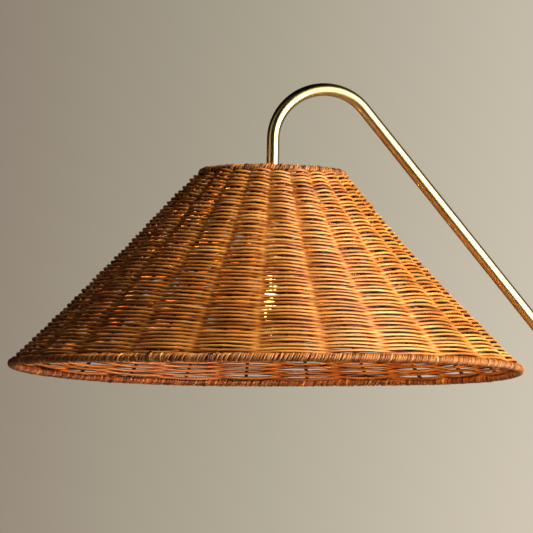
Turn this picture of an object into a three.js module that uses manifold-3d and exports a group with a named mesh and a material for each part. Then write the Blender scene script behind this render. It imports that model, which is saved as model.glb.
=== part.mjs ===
// Rattan floor lamp: a brass tube stands on a round weighted base, leans over in a knee and a hook,
// and carries a bulb socket under a flared shade of reed woven round upright stakes.
// Millimetres, +Z up. The origin is on the floor under the pole; the shade hangs over -X.
import * as THREE from "three";
import { mergeVertices } from "three/addons/utils/BufferGeometryUtils.js";
import Module from "manifold-3d";

const wasm = await Module();
wasm.setup();

// The lamp as a whole
const lampHeight = 1540;
const shadeReach = 350;
const armSlopeDegrees = 50.6;
const fitGap = 0.3;
const cutOverrun = 2;

// Tube, and the threaded nipples that join its lengths
const tubeDiameter = 12.7;
const tubeWall = 1.2;
const hookBendRadius = 50.8;
const kneeBendRadius = 100;
const dropLength = 44.5;
const poleJointHeight = 560;
const armShank = 83;
const nippleBore = 6.4;
const nippleGrip = 14;

// Base
const baseDiameter = 290;
const baseHeight = 22;
const coverWall = 1.2;
const coverEdgeHeight = 19.5;
const coverEdgeRounding = 6;
const padThickness = 2;
const padInset = 5;
const weightClearance = 2.5;
const weightChamfer = 3;
const recessDiameter = 40;
const recessDepth = 11;
const channelWidth = 10;
const baseWasherDiameter = 28;
const baseWasherThickness = 1.6;
const baseNutAcrossFlats = 16;
const baseNutThickness = 5;
const baseNippleTail = 2;
const glandBore = 6;
const glandBarrelDiameter = 9;
const glandFlangeDiameter = 13;
const glandFlangeThickness = 1.8;
const glandLength = 9;
const collarDiameter = 38;
const collarNeckDiameter = 19;
const collarHeight = 16;
const collarEdge = 3;

// Hardware that clamps the shade under the end of the tube
const seatRingDiameter = 24;
const seatRingThickness = 3;
const seatRingRounding = 1;
const fitterPlateDiameter = 34;
const fitterPlateThickness = 2;
const fitterWire = 3.2;
const fitterRise = 14;
const fitterSpokes = 3;
const headWasherDiameter = 22;
const headWasherThickness = 1.2;
const headNutAcrossFlats = 14;
const headNutThickness = 4;
const headNippleTail = 6;

// Bulb socket
const socketWall = 0.7;
const linerWall = 0.8;
const screwShellWall = 0.5;
const screwShellLength = 24;
const capNeckWall = 2.4;
const capNeckHeight = 7;
const capDomeHeight = 12;
const capSkirt = 6;
const shellLength = 50;
const shellBead = 0.8;
const bodyHeight = 21;
const bodyWireHole = 5;
const contactWidth = 6;
const contactThickness = 0.6;
const contactReach = 8;
const contactDrop = 2.2;
const switchDepth = 31;
const stemDiameter = 3;
const stemSeat = 8;
const knobHubDiameter = 8;
const knobHubLength = 6;
const knobWidth = 15;
const knobLength = 12;
const knobThickness = 3.4;

// Bulb
const bulbThreadDiameter = 26;
const bulbCapWall = 0.4;
const bulbCapLength = 21;
const bulbCapShoulder = 4;
const bulbTipDiameter = 9;
const insulatorHeight = 2;
const bulbGlassDiameter = 32;
const bulbGlassLength = 88;
const bulbGlassWall = 0.9;
const bulbNeckDiameter = 23;
const bulbNeckLength = 8;
const bulbShoulder = 10;
const filamentLength = 47;
const filamentDiameter = 1.7;
const filamentCircle = 9;
const filamentCount = 4;
const filamentFromTip = 21;
const supportWire = 0.9;
const stemRodDiameter = 4;
const stemFlareLength = 9;

// Shade: the borders' rolls are given by the circle that each roll's middle follows
const shadeHeight = 195;
const topRollCircle = 141;
const rimRollCircle = 503.6;
const topRollDiameter = 8;
const rimRollDiameter = 9;
const wallBow = 6.2;
const stakeCount = 24;
const stakeDiameter = 4;
const weaverDiameter = 2.5;
const shadeTurnDegrees = -2.6;
const bandRows = 6;
const bandsPerBend = 2;
const slotWidth = 14;

// Facets
const tubeFacets = 24;
const boreFacets = 12;
const socketFacets = 18;
const smallFacets = 16;
const discFacets = 44;
const rollFacets = 8;
const wireFacets = 6;
const rimRollFacets = 60;
const topRollFacets = 30;
const bendStepDegrees = 12;
const curveSteps = 3;

const lean = THREE.MathUtils.degToRad(90 - armSlopeDegrees);
const tubeRadius = tubeDiameter / 2;
const nippleRadius = tubeRadius - tubeWall - fitGap;
const nippleHoleRadius = nippleRadius + fitGap;
const poleFootHeight = baseHeight + fitGap;
const hookHeight = lampHeight - tubeRadius - hookBendRadius;
const dropEndHeight = hookHeight - dropLength;
const hookX = hookBendRadius - shadeReach;
const slopeTopX = hookX + hookBendRadius * Math.cos(lean);
const slopeTopZ = hookHeight + hookBendRadius * Math.sin(lean);
const slopeFootX = kneeBendRadius * Math.cos(lean) - kneeBendRadius;
const slopeFootZ = slopeTopZ - (slopeFootX - slopeTopX) / Math.tan(lean);
const kneeHeight = slopeFootZ - kneeBendRadius * Math.sin(lean);
const armJointHeight = kneeHeight - armShank;

// A mesh with a finish of its own; height lifts it along Z.
function piece(name, geometry, colour, roughness, metalness, height = 0) {
  const material = new THREE.MeshStandardMaterial({ color: colour, roughness, metalness });
  const mesh = new THREE.Mesh(geometry, material);
  mesh.name = name;
  mesh.position.z = height;
  return mesh;
}

const brass = (name, geometry, height) => piece(name, geometry, "#b08d4f", 0.32, 1, height);
const bright = (name, geometry, height) => piece(name, geometry, "#d2b36c", 0.22, 1, height);
const steel = (name, geometry, height) => piece(name, geometry, "#a9aaa8", 0.4, 1, height);
const rattan = (name, geometry, height) => piece(name, geometry, "#b8702c", 0.6, 0, height);

// A round piece turned about Z from an outline of (radius, height) points that runs anticlockwise.
// An outline that doesn't start on the axis closes on itself.
function turned(outline, facets) {
  const points = outline.map((point) => new THREE.Vector2(point.x, point.y));
  if (points[0].x > 0) points.push(points[0].clone());
  return new THREE.LatheGeometry(points, facets).rotateX(Math.PI / 2);
}

// A plain ring or sleeve from its lower to its upper face.
function sleeve(innerRadius, outerRadius, bottom, top, facets) {
  const outline = new THREE.Path();
  outline.moveTo(innerRadius, bottom);
  outline.lineTo(outerRadius, bottom);
  outline.lineTo(outerRadius, top);
  outline.lineTo(innerRadius, top);
  return turned(outline.getPoints(), facets);
}

function disc(radius, bottom, top, facets) {
  const outline = new THREE.Path();
  outline.moveTo(0, bottom);
  outline.lineTo(radius, bottom);
  outline.lineTo(radius, top);
  outline.lineTo(0, top);
  return turned(outline.getPoints(), facets);
}

function polygon(radius, sides) {
  return Array.from({ length: sides }, (_, side) => {
    const angle = (side * 2 * Math.PI) / sides;
    return new THREE.Vector2(radius * Math.cos(angle), radius * Math.sin(angle));
  });
}

// A hexagon nut, its lower face at height 0.
function hexNut(acrossFlats, thickness, holeRadius) {
  const outline = new THREE.Shape(polygon(acrossFlats / Math.sqrt(3), 6));
  outline.holes.push(new THREE.Path(polygon(holeRadius, smallFacets).reverse()));
  return new THREE.ExtrudeGeometry(outline, { depth: thickness, bevelEnabled: false });
}

function solidOf(geometry) {
  const bare = geometry.clone();
  bare.deleteAttribute("normal");
  bare.deleteAttribute("uv");
  const merged = mergeVertices(bare);
  return new wasm.Manifold(
    new wasm.Mesh({
      numProp: 3,
      vertProperties: merged.attributes.position.array,
      triVerts: new Uint32Array(merged.index.array),
    }),
  );
}

function geometryOf(solid) {
  const mesh = solid.getMesh();
  const geometry = new THREE.BufferGeometry();
  geometry.setAttribute("position", new THREE.BufferAttribute(mesh.vertProperties, 3));
  geometry.setIndex(new THREE.BufferAttribute(mesh.triVerts, 1));
  geometry.computeVertexNormals();
  return geometry;
}

function joined(...geometries) {
  return geometryOf(geometries.map(solidOf).reduce((whole, part) => whole.add(part)));
}

function cut(geometry, ...tools) {
  return geometryOf(tools.map(solidOf).reduce((whole, tool) => whole.subtract(tool), solidOf(geometry)));
}

// A round bar from one point to another.
function bar(from, to, radius, facets) {
  const along = to.clone().sub(from);
  const up = new THREE.Vector3(0, 1, 0);
  const geometry = new THREE.CylinderGeometry(radius, radius, along.length(), facets);
  const turn = new THREE.Quaternion().setFromUnitVectors(up, along.clone().normalize());
  geometry.applyQuaternion(turn);
  return geometry.translate(...from.clone().add(to).multiplyScalar(0.5));
}

// A path through stations, each a point with its own direction, so that bends get the steps they need
// and straight runs get one.
class StationPath extends THREE.Curve {
  constructor(stations) {
    super();
    this.stations = stations;
  }
  getUtoTmapping(share) {
    return share;
  }
  getPoint(share) {
    const place = share * (this.stations.length - 1);
    const index = Math.min(Math.floor(place), this.stations.length - 2);
    const { point } = this.stations[index];
    return point.clone().lerp(this.stations[index + 1].point, place - index);
  }
  getTangent(share) {
    return this.stations[Math.round(share * (this.stations.length - 1))].direction.clone();
  }
}

function swept(outline, stations) {
  const extrudePath = new StationPath(stations);
  return new THREE.ExtrudeGeometry(outline, { steps: stations.length - 1, extrudePath });
}

// Base

const weightBottom = padThickness + fitGap;
const coverRadius = baseDiameter / 2;
const recessTop = weightBottom + recessDepth;
const baseWasherTop = recessTop - fitGap;
const baseNutTop = baseWasherTop - baseWasherThickness - fitGap;
const glandHeight = weightBottom + recessDepth / 2;

// A felt disc that the lamp stands on.
function floorPad() {
  return piece("floor_pad", disc(coverRadius - padInset, 0, padThickness, discFacets), "#2b2a28", 0.95, 0);
}

// A cast disc with a bottom recess for the nut, and a channel from it to the edge for the lead.
function baseWeight() {
  const radius = coverRadius - coverWall - weightClearance;
  const top = coverEdgeHeight - coverWall - fitGap;
  const outline = new THREE.Path();
  outline.moveTo(nippleHoleRadius, recessTop);
  outline.lineTo(recessDiameter / 2, recessTop);
  outline.lineTo(recessDiameter / 2, weightBottom);
  outline.lineTo(radius, weightBottom);
  outline.lineTo(radius, top - weightChamfer);
  outline.lineTo(radius - weightChamfer, top);
  outline.lineTo(nippleHoleRadius, top);
  const channel = new THREE.BoxGeometry(radius + cutOverrun, channelWidth, recessDepth + cutOverrun);
  channel.translate((radius + cutOverrun) / 2, 0, recessTop - (recessDepth + cutOverrun) / 2);
  const casting = cut(turned(outline.getPoints(), discFacets), channel);
  return piece("base_weight", casting, "#3a3a3b", 0.8, 0.6);
}

// A spun cover with a rounded shoulder and a slightly raised middle.
function baseCover() {
  const outline = new THREE.Path();
  const shoulder = coverRadius - coverEdgeRounding;
  const wallTop = coverEdgeHeight - coverEdgeRounding;
  outline.moveTo(coverRadius, weightBottom);
  outline.lineTo(coverRadius, wallTop);
  outline.quadraticCurveTo(coverRadius, coverEdgeHeight, shoulder, coverEdgeHeight);
  outline.lineTo(nippleHoleRadius, baseHeight);
  outline.lineTo(nippleHoleRadius, baseHeight - coverWall);
  outline.lineTo(shoulder, coverEdgeHeight - coverWall);
  const innerRadius = coverRadius - coverWall;
  outline.quadraticCurveTo(innerRadius, coverEdgeHeight - coverWall, innerRadius, wallTop);
  outline.lineTo(innerRadius, weightBottom);
  const inside = new THREE.Vector3(coverRadius - coverWall - cutOverrun, 0, glandHeight);
  const outside = new THREE.Vector3(coverRadius + cutOverrun, 0, glandHeight);
  const glandHole = bar(inside, outside, glandBarrelDiameter / 2 + fitGap, smallFacets);
  return brass("base_cover", cut(turned(outline.getPoints(curveSteps), discFacets), glandHole));
}

// The outlet in the rear of the cover that a mains lead would pass.
function cordGland() {
  const outline = new THREE.Path();
  const barrel = glandBarrelDiameter / 2;
  outline.moveTo(glandBore / 2, glandFlangeThickness - glandLength);
  outline.lineTo(barrel, glandFlangeThickness - glandLength);
  outline.lineTo(barrel, 0);
  outline.lineTo(glandFlangeDiameter / 2, 0);
  outline.lineTo(glandFlangeDiameter / 2, glandFlangeThickness / 2);
  outline.lineTo(glandFlangeDiameter / 2 - glandFlangeThickness / 2, glandFlangeThickness);
  outline.lineTo(glandBore / 2, glandFlangeThickness);
  const gland = piece("cord_gland", turned(outline.getPoints(), smallFacets), "#1d1c1b", 0.5, 0);
  gland.rotation.y = Math.PI / 2;
  gland.position.set(coverRadius + fitGap, 0, glandHeight);
  return gland;
}

function baseFastening() {
  const washer = sleeve(nippleHoleRadius, baseWasherDiameter / 2, -baseWasherThickness, 0, smallFacets);
  const nut = hexNut(baseNutAcrossFlats, baseNutThickness, nippleHoleRadius);
  const tail = baseNutTop - baseNutThickness - baseNippleTail;
  const nipple = sleeve(nippleBore / 2, nippleRadius, tail, poleFootHeight + nippleGrip, smallFacets);
  return [
    steel("base_washer", washer, baseWasherTop),
    steel("base_nut", nut, baseNutTop - baseNutThickness),
    steel("base_nipple", nipple),
  ];
}

// A turned collar that hides the foot of the pole.
function poleCollar() {
  const bore = tubeRadius + fitGap;
  const outline = new THREE.Path();
  outline.moveTo(bore, 0);
  outline.lineTo(collarDiameter / 2, 0);
  outline.lineTo(collarDiameter / 2, collarEdge);
  outline.quadraticCurveTo(collarNeckDiameter / 2, collarEdge, collarNeckDiameter / 2, collarHeight);
  outline.lineTo(bore, collarHeight);
  return bright("pole_collar", turned(outline.getPoints(curveSteps), tubeFacets), poleFootHeight);
}

// Pole and arm

function straightTube(name, bottom, top) {
  return brass(name, sleeve(tubeRadius - tubeWall, tubeRadius, bottom, top, tubeFacets));
}

function jointNipple(name, height) {
  return steel(name, sleeve(nippleBore / 2, nippleRadius, -nippleGrip, nippleGrip, smallFacets), height);
}

function station(x, z, angle) {
  const direction = new THREE.Vector3(-Math.sin(angle), 0, Math.cos(angle));
  return { point: new THREE.Vector3(x, 0, z), direction };
}

// Stations round a bend in the plane of the arm, its angles counted from +X.
function bendStations(centreX, centreZ, radius, from, to) {
  const steps = Math.ceil(THREE.MathUtils.radToDeg(to - from) / bendStepDegrees);
  return Array.from({ length: steps + 1 }, (_, step) => {
    const angle = from + ((to - from) * step) / steps;
    return station(centreX + radius * Math.cos(angle), centreZ + radius * Math.sin(angle), angle);
  });
}

// One bent length: up from the joint, over the knee, along the slope, round the hook and down the drop.
function armTube() {
  const stations = [
    station(0, armJointHeight + fitGap, 0),
    ...bendStations(-kneeBendRadius, kneeHeight, kneeBendRadius, 0, lean),
    ...bendStations(hookX, hookHeight, hookBendRadius, lean, Math.PI),
    station(-shadeReach, dropEndHeight, Math.PI),
  ];
  const outline = new THREE.Shape(polygon(tubeRadius, tubeFacets));
  outline.holes.push(new THREE.Path(polygon(tubeRadius - tubeWall, boreFacets).reverse()));
  return brass("arm_tube", swept(outline, stations));
}

// Hardware under the end of the drop; heights are counted from the end of the tube

const seatRingTop = -fitGap;
const fitterPlateTop = seatRingTop - seatRingThickness - fitGap;
const headWasherTop = fitterPlateTop - fitterPlateThickness - fitGap;
const headNutTop = headWasherTop - headWasherThickness - fitGap;
const socketTop = headNutTop - headNutThickness - fitGap;
const fitterWireRadius = fitterWire / 2;
const shadeTop = fitterPlateTop - fitterWireRadius + fitterRise;

function seatRing() {
  const radius = seatRingDiameter / 2;
  const outline = new THREE.Path();
  outline.moveTo(nippleHoleRadius, -seatRingThickness);
  outline.lineTo(radius, -seatRingThickness);
  outline.lineTo(radius, -seatRingRounding);
  outline.lineTo(radius - seatRingRounding, 0);
  outline.lineTo(nippleHoleRadius, 0);
  return bright("seat_ring", turned(outline.getPoints(), tubeFacets), seatRingTop);
}

// A wire hoop lashed inside the shade's top border, with spokes down to a plate round the nipple.
function shadeFitter() {
  const plateRadius = fitterPlateDiameter / 2;
  const hoopRadius = (topRollCircle - topRollDiameter) / 2 - fitGap - fitterWireRadius;
  const section = polygon(fitterWireRadius, wireFacets).map(
    (point) => new THREE.Vector2(hoopRadius + point.x, point.y + fitterRise - fitterWireRadius),
  );
  const hoop = turned(section, topRollFacets);
  const plate = sleeve(nippleHoleRadius, plateRadius, -fitterPlateThickness, 0, tubeFacets);
  const spokes = Array.from({ length: fitterSpokes }, (_, spoke) => {
    const inner = new THREE.Vector3(plateRadius - fitterWire, 0, -fitterWireRadius);
    const outer = new THREE.Vector3(hoopRadius, 0, fitterRise - fitterWireRadius);
    const angle = ((spoke + 0.5) * 2 * Math.PI) / fitterSpokes;
    return bar(inner, outer, fitterWireRadius, wireFacets).rotateZ(angle);
  });
  return steel("shade_fitter", joined(plate, hoop, ...spokes), fitterPlateTop);
}

function headFastening() {
  const washer = sleeve(nippleHoleRadius, headWasherDiameter / 2, -headWasherThickness, 0, smallFacets);
  const nut = hexNut(headNutAcrossFlats, headNutThickness, nippleHoleRadius);
  const nipple = sleeve(nippleBore / 2, nippleRadius, socketTop - headNippleTail, nippleGrip, smallFacets);
  return [
    steel("head_nipple", nipple),
    steel("head_washer", washer, headWasherTop),
    steel("head_nut", nut, headNutTop - headNutThickness),
  ];
}

// Socket; radii are built outwards from the bulb's thread

const screwShellInner = bulbThreadDiameter / 2 + fitGap;
const screwShellOuter = screwShellInner + screwShellWall;
const linerInner = screwShellOuter + fitGap;
const linerOuter = linerInner + linerWall;
const shellInner = linerOuter + fitGap;
const shellOuter = shellInner + socketWall;
const capInner = shellOuter + fitGap;
const capOuter = capInner + socketWall;
const capBottom = socketTop - capNeckHeight - capDomeHeight - capSkirt;
const shellTop = capBottom + capSkirt - fitGap;
const shellBottom = shellTop - shellLength;
const bodyTop = shellTop - fitGap;
const bodyBottom = bodyTop - bodyHeight;
const switchHeight = socketTop - switchDepth;
const stemRadius = stemDiameter / 2;
const stemHoleRadius = stemRadius + fitGap;

// A hole for the switch stem, from the given radius out past the shell, towards -Y.
function stemHole(fromRadius) {
  const from = new THREE.Vector3(0, -fromRadius, switchHeight);
  const to = new THREE.Vector3(0, -shellOuter - cutOverrun, switchHeight);
  return bar(from, to, stemHoleRadius, smallFacets);
}

// The domed brass cap, screwed on the nipple by its neck.
function socketCap() {
  const neckOuter = nippleHoleRadius + capNeckWall;
  const domeTop = socketTop - capNeckHeight;
  const domeBottom = domeTop - capDomeHeight;
  const outline = new THREE.Path();
  outline.moveTo(capOuter, capBottom);
  outline.lineTo(capOuter, domeBottom);
  outline.quadraticCurveTo(capOuter, domeTop, neckOuter, domeTop);
  outline.lineTo(neckOuter, socketTop);
  outline.lineTo(nippleHoleRadius, socketTop);
  outline.lineTo(nippleHoleRadius, domeTop - socketWall);
  outline.lineTo(neckOuter, domeTop - socketWall);
  outline.quadraticCurveTo(capInner, domeTop - socketWall, capInner, domeBottom);
  outline.lineTo(capInner, capBottom);
  return brass("socket_cap", turned(outline.getPoints(curveSteps), socketFacets));
}

// The brass shell, with a rolled bead at its mouth.
function socketShell() {
  const outline = new THREE.Path();
  outline.moveTo(shellOuter, shellBottom + 2 * shellBead);
  outline.lineTo(shellOuter, shellTop);
  outline.lineTo(shellInner, shellTop);
  outline.lineTo(shellInner, shellBottom);
  outline.lineTo(shellOuter, shellBottom);
  outline.lineTo(shellOuter + shellBead, shellBottom + shellBead);
  const shell = turned(outline.getPoints(), socketFacets);
  return brass("socket_shell", cut(shell, stemHole(linerOuter)));
}

function socketLiner() {
  const liner = sleeve(linerInner, linerOuter, shellBottom + shellBead, bodyTop, socketFacets);
  return piece("socket_liner", cut(liner, stemHole(screwShellOuter)), "#4a3a2c", 0.9, 0);
}

// The moulded body that holds the switch and the contacts.
function socketBody() {
  const outline = new THREE.Path();
  outline.moveTo(bodyWireHole / 2, bodyBottom);
  outline.lineTo(linerInner - fitGap, bodyBottom);
  outline.lineTo(linerInner - fitGap, bodyTop);
  outline.lineTo(bodyWireHole / 2, bodyTop);
  const moulding = turned(outline.getPoints(), socketFacets);
  return piece("socket_body", cut(moulding, stemHole(stemSeat - fitGap)), "#20201f", 0.45, 0);
}

// The threaded shell that takes the bulb, open at its mouth and holed at its closed end.
function screwShell() {
  const top = bodyBottom - fitGap;
  const outline = new THREE.Path();
  outline.moveTo(screwShellOuter, top - screwShellLength);
  outline.lineTo(screwShellOuter, top);
  outline.lineTo(contactReach + fitGap, top);
  outline.lineTo(contactReach + fitGap, top - screwShellWall);
  outline.lineTo(screwShellInner, top - screwShellWall);
  outline.lineTo(screwShellInner, top - screwShellLength);
  return piece("screw_shell", turned(outline.getPoints(), socketFacets), "#c9c4b4", 0.35, 1);
}

// A sprung strip bent down towards the tip of the bulb.
function centreContact() {
  const half = contactReach / 2;
  const outline = new THREE.Shape();
  outline.moveTo(-half, 0);
  outline.lineTo(-half, -contactThickness);
  outline.lineTo(-half / 2, -contactThickness);
  outline.lineTo(half / 2, -contactDrop);
  outline.lineTo(half, -contactDrop);
  outline.lineTo(half, contactThickness - contactDrop);
  outline.lineTo(half / 2, contactThickness - contactDrop);
  outline.lineTo(-half / 2, 0);
  const strip = new THREE.ExtrudeGeometry(outline, { depth: contactWidth, bevelEnabled: false });
  strip.translate(0, 0, -contactWidth / 2).rotateX(Math.PI / 2);
  return bright("centre_contact", strip, bodyBottom - fitGap);
}

// The rotary switch's stem and its paddle knob, turning together about an axis along Y.
function switchParts() {
  const knobFoot = shellOuter + shellBead + fitGap;
  const paddleFoot = knobFoot + knobHubLength - knobThickness / 2;
  const shoulder = paddleFoot + knobThickness;
  const tip = paddleFoot + knobLength;
  const hubRadius = knobHubDiameter / 2;
  const stem = sleeveAlongFront(0, stemRadius, stemSeat, paddleFoot - fitGap);
  const hub = sleeveAlongFront(stemHoleRadius, hubRadius, knobFoot, knobFoot + knobHubLength);
  const paddle = new THREE.Shape();
  paddle.moveTo(-hubRadius, paddleFoot);
  paddle.lineTo(hubRadius, paddleFoot);
  paddle.quadraticCurveTo(knobWidth / 2, shoulder, knobWidth / 2, tip - knobThickness);
  paddle.quadraticCurveTo(knobWidth / 2, tip, 0, tip);
  paddle.quadraticCurveTo(-knobWidth / 2, tip, -knobWidth / 2, tip - knobThickness);
  paddle.quadraticCurveTo(-knobWidth / 2, shoulder, -hubRadius, paddleFoot);
  const depth = knobThickness;
  const blade = new THREE.ExtrudeGeometry(paddle, { depth, bevelEnabled: false, curveSegments: curveSteps });
  blade.translate(0, 0, -depth / 2).rotateZ(Math.PI);
  return [
    steel("switch_stem", stem, switchHeight),
    piece("switch_knob", joined(hub, blade), "#1c1b1a", 0.4, 0, switchHeight),
  ];
}

// A rod or sleeve that points to the front, its ends counted from the socket's axis.
function sleeveAlongFront(innerRadius, outerRadius, near, far) {
  const rod = innerRadius > 0
    ? sleeve(innerRadius, outerRadius, near, far, smallFacets)
    : disc(outerRadius, near, far, smallFacets);
  return rod.rotateX(Math.PI / 2);
}

// Bulb; heights are counted down from the tip of its contact

const bulbTip = bodyBottom - fitGap - contactDrop - fitGap;
const insulatorTop = bulbTip - fitGap - bulbCapWall;
const bulbCapTop = insulatorTop - insulatorHeight - fitGap;
const bulbCapBottom = bulbCapTop - bulbCapLength;
const glassTop = bulbCapBottom + bulbNeckLength;
const glassBottom = glassTop - bulbGlassLength;
const filamentBottom = glassBottom + filamentFromTip;
const filamentTop = filamentBottom + filamentLength;

function bulbContact() {
  return bright("bulb_contact", disc(bulbTipDiameter / 2 - fitGap, -bulbCapWall, 0, smallFacets), bulbTip);
}

function bulbInsulator() {
  const outline = new THREE.Path();
  outline.moveTo(0, -insulatorHeight);
  outline.lineTo(bulbTipDiameter / 2 + insulatorHeight, -insulatorHeight);
  outline.lineTo(bulbTipDiameter / 2, 0);
  outline.lineTo(0, 0);
  return piece("bulb_insulator", turned(outline.getPoints(), smallFacets), "#17171a", 0.2, 0, insulatorTop);
}

function bulbCap() {
  const radius = bulbThreadDiameter / 2;
  const mouth = bulbTipDiameter / 2 + insulatorHeight;
  const outline = new THREE.Path();
  outline.moveTo(radius, bulbCapBottom);
  outline.lineTo(radius, bulbCapTop - bulbCapShoulder);
  outline.lineTo(mouth, bulbCapTop);
  outline.lineTo(mouth - bulbCapWall, bulbCapTop);
  outline.lineTo(mouth - bulbCapWall, bulbCapTop - bulbCapWall);
  outline.lineTo(radius - bulbCapWall, bulbCapTop - bulbCapShoulder - bulbCapWall);
  outline.lineTo(radius - bulbCapWall, bulbCapBottom);
  return piece("bulb_cap", turned(outline.getPoints(), socketFacets), "#cfc9b8", 0.3, 1);
}

// The tubular envelope, open at the neck that the cap holds.
function bulbGlass() {
  const radius = bulbGlassDiameter / 2;
  const neck = bulbNeckDiameter / 2;
  const shoulderTop = bulbCapBottom - fitGap;
  const shoulderBottom = shoulderTop - bulbShoulder;
  const inner = radius - bulbGlassWall;
  const outline = new THREE.Path();
  outline.moveTo(0, glassBottom);
  outline.quadraticCurveTo(radius, glassBottom, radius, glassBottom + radius);
  outline.lineTo(radius, shoulderBottom);
  outline.quadraticCurveTo(radius, shoulderTop, neck, shoulderTop);
  outline.lineTo(neck, glassTop);
  outline.lineTo(neck - bulbGlassWall, glassTop);
  outline.lineTo(neck - bulbGlassWall, shoulderTop - bulbGlassWall);
  outline.quadraticCurveTo(inner, shoulderTop - bulbGlassWall, inner, shoulderBottom);
  outline.lineTo(inner, glassBottom + radius);
  outline.quadraticCurveTo(inner, glassBottom + bulbGlassWall, 0, glassBottom + bulbGlassWall);
  return piece("bulb_glass", turned(outline.getPoints(curveSteps), socketFacets), "#f2e6cf", 0.05, 0);
}

// The pressed glass mount: a flare sealed in the neck of the glass, drawn down to a rod.
function bulbStem() {
  const flare = bulbNeckDiameter / 2 - bulbGlassWall - fitGap;
  const rod = stemRodDiameter / 2;
  const rodBottom = filamentTop + supportWire + fitGap;
  const flareTop = glassTop - bulbGlassWall;
  const outline = new THREE.Path();
  outline.moveTo(0, rodBottom);
  outline.lineTo(rod, rodBottom);
  outline.lineTo(rod, flareTop - stemFlareLength);
  outline.quadraticCurveTo(rod, flareTop, flare, flareTop);
  outline.lineTo(0, flareTop);
  return piece("bulb_stem", turned(outline.getPoints(curveSteps), smallFacets), "#e8e4da", 0.05, 0);
}

// Upright glowing rods, tied at both ends by a crossed wire.
function bulbFilament() {
  const circle = filamentCircle / 2;
  const wire = supportWire / 2;
  const rods = [];
  const ties = [];
  for (let rod = 0; rod < filamentCount; rod++) {
    const angle = (rod * 2 * Math.PI) / filamentCount;
    const foot = new THREE.Vector3(circle, 0, filamentBottom);
    const head = new THREE.Vector3(circle, 0, filamentTop);
    rods.push(bar(foot, head, filamentDiameter / 2, wireFacets).rotateZ(angle));
    for (const height of [filamentBottom + wire, filamentTop - wire]) {
      const middle = new THREE.Vector3(-wire, 0, height);
      const end = new THREE.Vector3(circle, 0, height);
      ties.push(bar(middle, end, wire, wireFacets).rotateZ(angle));
    }
  }
  const post = disc(wire, filamentBottom + wire, filamentTop + supportWire, wireFacets);
  return piece("bulb_filament", joined(post, ...rods, ...ties), "#ffd79a", 0.5, 0);
}

// Shade; heights are counted down from the plane of the top border

const topRollRadius = topRollDiameter / 2;
const rimRollRadius = rimRollDiameter / 2;
const weaverRadius = weaverDiameter / 2;
const stakeRadius = stakeDiameter / 2;
const shadeFlare = (rimRollCircle - topRollCircle) / 2;
const weaverLift = stakeRadius + fitGap + weaverRadius;
const wallStart = (topRollRadius + fitGap) / Math.hypot(shadeFlare - 4 * wallBow, shadeHeight);
const wallEnd = 1 - (rimRollRadius + fitGap) / Math.hypot(shadeFlare + 4 * wallBow, shadeHeight);
const slotShare = slotWidth / Math.hypot(shadeFlare, shadeHeight);
const bandShare = (wallEnd - wallStart - (bandRows - 1) * slotShare) / bandRows;
const bandShares = Array.from({ length: bandRows }, (_, row) => {
  const top = wallStart + row * (bandShare + slotShare);
  return [top, top + bandShare];
});
const bendRows = bandShares.filter((_, row) => row > 0 && row % bandsPerBend === 0);
const wallShares = [wallStart, ...bendRows.map(([top]) => top - slotShare / 2), wallEnd];
const closedShare = Math.asin(weaverRadius / weaverLift) / Math.PI;

// A point of the wall: share runs from the top roll to the rim roll on a line that bows in, and offset
// stands off that line, outwards when positive.
function bowedPoint(share, offset) {
  const radius = topRollCircle / 2 + shadeFlare * share - 4 * wallBow * share * (1 - share);
  const widening = shadeFlare - 4 * wallBow * (1 - 2 * share);
  const slant = Math.hypot(widening, shadeHeight);
  const across = radius + (offset * shadeHeight) / slant;
  const height = (offset * widening) / slant - shadeHeight * share;
  return new THREE.Vector3(across, 0, height);
}

// The same point on the straight runs that wall and stakes share, which bend in the middle of a slot.
function wallPoint(share, offset) {
  const run = Math.max(wallShares.slice(0, -1).findLastIndex((bend) => bend <= share), 0);
  const [start, end] = wallShares.slice(run, run + 2);
  const along = (share - start) / (end - start);
  return bowedPoint(start, offset).lerp(bowedPoint(end, offset), along);
}

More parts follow.
